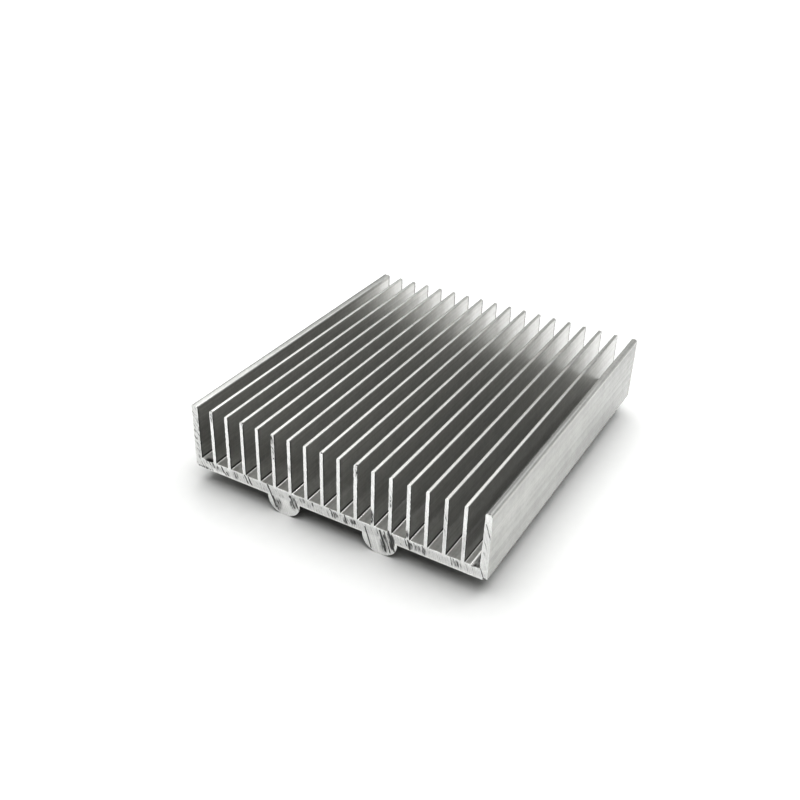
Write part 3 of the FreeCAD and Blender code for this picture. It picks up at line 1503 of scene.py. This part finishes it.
@dataclass(frozen=True)
class Studio:
    """White surface, soft light and the camera at the photograph's angle, in metres."""

    sides: int = 96
    floor_radius: float = 3.0
    floor_level: float = -0.00002
    backdrop_radius: float = 1.0
    backdrop_rings: int = 12
    front_light: float = 0.02
    back_light: float = 0.5
    back_span: Span = (-0.4, 0.5)
    light_below: float = 0.6
    below_span: Span = (-0.02, 0.0)
    contrast: float = 0.75
    bounces: int = 16
    glossy_bounces: int = 14
    diffuse_bounces: int = 1
    sensor_width: float = 36.0
    clip_span: Span = (0.01, 20.0)
    lens: float = 44.01
    shift_x: float = 0.049
    shift_y: float = -0.0123
    eye: Place = (0.11072, -0.21344, 0.16131)
    aim: Place = (-0.03155, 0.01509, 0.0)
    roll: float = 0.349
    softboxes: tuple[Softbox, ...] = (
        Softbox("overhead_softbox", (0.01, 0.0, 1.1), 1.8, 1.5, 1.75),
        Softbox("back_softbox", (-0.1, 1.0, 0.97), 2.4, 0.5, 0.85),
        Softbox("back_glow", (-0.1, 1.0, 0.97), 2.4, 0.5, 0.85, lights_floor=False),
        Softbox("front_softbox", (0.0, -1.1, 0.85), 2.6, 1.1, 0.7, lights_floor=False),
    )

    def ring(self, radius: float, height: float) -> list[Place]:
        """Points of a level circle about the origin.

        Args:
            radius: The circle's radius.
            height: Its height.

        Returns:
            The points, anticlockwise as seen from above.
        """
        turn = 2 * math.pi / self.sides
        return [(radius * math.cos(turn * side), radius * math.sin(turn * side), height)
                for side in range(self.sides)]

    def build_floor(self, paper: bpy.types.Material) -> None:
        """Make the floor as a wide disc.

        Args:
            paper: Its finish.
        """
        rim = self.ring(self.floor_radius, self.floor_level)
        floor = add_mesh("floor", rim, [tuple(range(self.sides))], paper)

    def build_backdrop(self) -> None:
        """Make the pale dome around the piece, which sheds no light of its own."""
        rises = [math.pi / 2 * ring / self.backdrop_rings for ring in range(self.backdrop_rings)]
        vertices = [point for rise in rises for point in self.ring(
            self.backdrop_radius * math.cos(rise), self.backdrop_radius * math.sin(rise))]
        top = len(vertices)
        vertices.append((0.0, 0.0, self.backdrop_radius))
        pairs = list(enumerate([*range(1, self.sides), 0]))
        faces: list[tuple[int, ...]] = [
            (start + side, start + after, start + self.sides + after, start + self.sides + side)
            for start in range(0, top - self.sides, self.sides) for side, after in pairs]
        faces += [(top - self.sides + side, top - self.sides + after, top)
                  for side, after in pairs]
        white = MaterialSketch("backdrop").finished({
            "Base Color": BLACK, "Emission Color": WHITE, "Emission Strength": 1.0})
        backdrop = add_mesh("backdrop", vertices, faces, white)
        for ray in ("diffuse", "glossy", "transmission", "volume_scatter", "shadow"):
            setattr(backdrop, "visible_" + ray, False)

    def build_surround(self) -> None:
        """Give the world a plain white light, dim at the front and strong below the floor."""
        world = bpy.data.worlds.new("studio")
        world.use_nodes = True
        sketch = NodeSketch(world.node_tree)
        parts = sketch.parts(sketch.add("TexCoord", "Generated", {}))
        from_front = sketch.spread(parts["Y"], self.back_span,
                                   (self.front_light, self.back_light), "LINEAR")
        below = sketch.spread(parts["Z"], self.below_span, (self.light_below, 0.0), "LINEAR")
        sketch.feed(sketch.tree.nodes["Background"].inputs, {
            "Color": WHITE, "Strength": sketch.math("MAXIMUM", from_front, below)})
        bpy.context.scene.world = world

    def build_camera(self) -> None:
        """Make the camera and set it as the scene's own."""
        lens = bpy.data.cameras.new("camera")
        lens.sensor_fit = "HORIZONTAL"
        lens.sensor_width = self.sensor_width
        lens.lens = self.lens
        lens.shift_x = self.shift_x
        lens.shift_y = self.shift_y
        lens.clip_start, lens.clip_end = self.clip_span
        camera = add_object("camera", lens)
        turn = (Vector(self.aim) - Vector(self.eye)).to_track_quat("-Z", "Y").to_matrix().to_4x4()
        roll = Matrix.Rotation(math.radians(self.roll), 4, "Z")
        camera.matrix_world = Matrix.Translation(self.eye) @ turn @ roll
        bpy.context.scene.camera = camera

    def build(self, paper: bpy.types.Material) -> None:
        """Make the floor, the lights and the camera, and set how light travels.

        Args:
            paper: Finish of the floor.
        """
        self.build_floor(paper)
        self.build_backdrop()
        self.build_surround()
        for softbox in self.softboxes:
            softbox.build()
        self.build_camera()
        scene = bpy.context.scene
        scene.view_settings.view_transform = "Standard"
        scene.view_settings.gamma = self.contrast
        scene.cycles.max_bounces = self.bounces
        scene.cycles.glossy_bounces = self.glossy_bounces
        scene.cycles.diffuse_bounces = self.diffuse_bounces


NEAR_CUT = SawCut(
    seed=1.0,
    tears=(
        Tear(-41.0, 5.1, 3.2, 0.4, 0.6),
        Tear(-36.6, 6.3, 1.6, 1.1, 0.42),
        Tear(-33.5, 5.8, 1.0, 0.9, 0.5),
        Tear(-30.5, 6.4, 1.4, 1.5, 0.42),
        Tear(-16.6, 2.6, 1.5, 2.4, 0.5),
        Tear(-12.6, 6.5, 0.5, 0.5, 0.75),
        Tear(-11.6, 4.7, 1.4, 2.3, 0.55),
        Tear(-8.7, 6.9, 1.2, 1.0, 0.46),
        Tear(-6.4, 6.0, 0.7, 1.0, 0.38),
        Tear(1.2, 6.4, 1.5, 1.3, 0.5),
        Tear(4.6, 6.2, 1.2, 1.4, 0.42),
        Tear(6.6, 6.6, 1.0, 1.0, 0.42),
        Tear(16.0, 3.8, 1.6, 3.4, 0.5),
        Tear(18.2, 5.0, 0.9, 2.8, 0.75),
        Tear(23.3, 6.1, 1.0, 1.4, 0.7),
        Tear(25.6, 6.4, 1.3, 1.3, 0.4),
        Tear(27.2, 6.2, 0.7, 1.5, 0.55),
        Tear(36.0, 6.5, 0.9, 1.2, 0.6),
        Tear(40.2, 7.9, 0.8, 0.3, 0.7),
        Tear(43.4, 5.1, 0.6, 0.3, 0.9),
        # Painted shade: the next two patches darken the left wall's front and the base's front evenly
        Tear(-43.1, 16.0, 1.9, 13.0, 0.34),
        Tear(0.0, 6.25, 60.0, 1.5, 0.27),
        Tear(-41.0, 6.6, 5.5, 2.4, 0.3),
        Tear(-37.4, 22.4, 0.5, 2.2, 0.45),
        Tear(-17.5, 20.4, 0.6, 4.2, 0.36),
        Tear(-12.4, 15.4, 0.5, 1.4, 0.4),
        Tear(7.7, 22.6, 0.5, 2.2, 0.4),
        Tear(12.5, 10.4, 0.5, 2.2, 0.5),
        Tear(17.5, 17.2, 0.5, 2.4, 0.33),
        Tear(22.4, 9.6, 0.5, 1.6, 0.5),
        Tear(32.5, 16.0, 0.5, 6.0, 0.3),
        Tear(37.5, 13.5, 0.5, 3.4, 0.3),
        Tear(43.2, 15.0, 1.2, 8.0, 0.24),
    ),
    grooves=(
        Groove(-39.6, 7.5, 6.2, 0.2, 0.7),
        Groove(-38.4, 7.3, 5.8, 0.22, 0.8),
        Groove(-35.4, 7.4, 5.5, 0.26, 0.85),
        Groove(-27.5, 7.7, 5.2, 0.2, 0.9),
        Groove(-26.3, 7.7, 5.2, 0.2, 0.9),
        Groove(-19.9, 7.7, 1.2, 0.2, 0.95),
        Groove(-18.2, 4.6, 1.0, 0.24, 0.6),
        Groove(-12.6, 6.8, 3.2, 0.26, 0.6),
        Groove(-11.4, 6.6, 2.6, 0.22, 0.6),
        Groove(-5.7, 7.3, 6.3, 0.24, 0.7),
        Groove(0.2, 7.4, 5.6, 0.2, 0.5),
        Groove(-0.3, 7.8, 7.2, 0.3, 0.6),
        Groove(4.1, 8.0, 5.0, 0.18, 0.8),
        Groove(6.1, 7.2, 5.8, 0.2, 0.5),
        Groove(7.2, 7.1, 5.9, 0.26, 0.8),
        Groove(10.3, 6.6, 0.6, 0.16, 1.0),
        Groove(13.6, 7.6, 5.8, 0.14, 0.5),
        Groove(14.6, 7.3, 1.1, 0.27, 0.9),
        Groove(15.8, 7.5, 1.4, 0.2, 0.65),
        Groove(17.0, 8.2, 2.4, 0.3, 1.0),
        Groove(17.9, 5.6, 2.0, 0.2, 0.9),
        Groove(21.7, 7.8, 5.6, 0.14, 0.7),
        Groove(22.5, 7.7, 5.0, 0.24, 0.8),
        Groove(24.2, 7.6, 5.2, 0.2, 0.45),
        Groove(26.6, 7.6, 5.0, 0.22, 0.55),
        Groove(34.2, 7.7, 5.2, 0.16, 0.7),
        Groove(35.0, 7.6, 5.4, 0.16, 0.6),
        Groove(38.4, 7.5, 5.2, 0.13, 0.4),
        Groove(40.0, 7.5, 5.2, 0.13, 0.4),
        Groove(42.7, 21.2, 15.8, 0.14, 0.6),
    ),
    chips=(
        Chip(-27.0, 24.3, 0.45, 0.8, 0.45),
        Chip(-17.9, 23.0, 0.3, 0.7, 0.35),
        Chip(-17.4, 16.8, 0.25, 0.25, 0.25),
        Chip(-37.2, 24.3, 0.3, 0.3, 0.3),
        Chip(-2.4, 24.1, 0.3, 0.3, 0.25),
        Chip(7.9, 24.3, 0.45, 0.5, 0.35),
        Chip(7.9, 22.0, 0.22, 0.7, 0.3),
        Chip(12.1, 11.2, 0.35, 1.7, 0.4),
        Chip(12.2, 9.0, 0.35, 0.7, 0.35),
        Chip(22.0, 9.1, 0.4, 1.4, 0.4),
        Chip(17.5, 17.5, 0.2, 0.25, 0.25),
        Chip(17.6, 16.1, 0.15, 0.5, 0.2),
        Chip(43.5, 4.9, 0.7, 0.3, 0.45),
        Chip(43.3, 24.4, 0.3, 0.3, 0.3),
        Chip(44.1, 23.9, 0.3, 0.5, 0.25),
        Chip(-12.6, 6.6, 0.35, 0.35, 0.2),
    ),
    seams=(
        Seam((42.1, 8.1), (43.3, 4.7), 0.12),
    ),
)

FAR_CUT = SawCut(
    seed=40.0,
    # Painted shade: darkens the whole far face evenly
    dull=0.34,
    tears=(
        Tear(-30.0, 6.2, 1.6, 1.6, 0.6),
        Tear(-12.0, 5.0, 2.0, 3.2, 0.7),
        Tear(2.0, 6.4, 1.6, 1.5, 0.5),
        Tear(17.0, 4.6, 2.2, 3.4, 0.7),
        Tear(31.0, 6.4, 1.8, 1.6, 0.5),
        Tear(-7.4, 18.0, 0.5, 5.0, 0.4),
        Tear(27.4, 16.0, 0.5, 6.0, 0.4),
    ),
    grooves=(
        Groove(-22.0, 7.6, 5.0, 0.2, 0.8),
        Groove(-14.5, 7.4, 2.0, 0.24, 0.8),
        Groove(11.0, 6.6, 0.8, 0.18, 0.8),
        Groove(15.4, 7.6, 1.6, 0.26, 0.9),
        Groove(25.0, 7.4, 5.0, 0.2, 0.7),
        Groove(36.0, 7.5, 5.2, 0.2, 0.6),
    ),
    chips=(
        Chip(27.4, 24.3, 0.5, 0.5, 0.5),
        Chip(32.6, 24.3, 0.5, 0.4, 0.5),
        Chip(37.4, 24.3, 0.6, 0.5, 0.6),
    ),
)

# The first dent's dark is painted shade in its hollow; the others darken patches of the last
# channel's floor near the front edge
DENTS = (
    FloorDent(-39.6, -49.5, 2.0, 1.5, 0.25, 1.0),
    FloorDent(40.5, -49.4, 0.7, 0.8, 0.08, 0.95),
    FloorDent(41.5, -48.8, 0.45, 0.7, 0.06, 0.9),
    FloorDent(40.9, -47.4, 0.55, 0.9, 0.05, 0.9),
    FloorDent(41.6, -46.4, 0.3, 1.4, 0.0, 0.9),
    FloorDent(40.3, -45.8, 0.3, 1.0, 0.0, 0.85),
)


def main() -> None:
    """Build the piece and its studio, and report them."""
    logging.basicConfig(level=logging.INFO, format="%(message)s")
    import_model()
    low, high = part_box(CAD_NODE)
    section = Section()
    half_length = (high[1] - low[1]) / MM / 2
    LOG.info("section %.2f x %.2f mm, cut to %.2f mm", 2 * section.half_width,
             section.tip_level, 2 * half_length)
    extrusion = HeatSinkExtrusion(
        section, half_length, {End.NEAR: NEAR_CUT, End.FAR: FAR_CUT}, EdgeWear(section),
        ExtrudedShadeAndDents(section, half_length, DENTS))
    piece = extrusion.build(MillFinish().build(), SawnFinish(NEAR_CUT.blade).build())
    triangles = sum(len(face.vertices) - 2 for face in piece.data.polygons)
    LOG.info("%s: %d triangles", piece.name, triangles)
    Studio().build(PaperFinish().build())


if __name__ == "__main__":
    main()
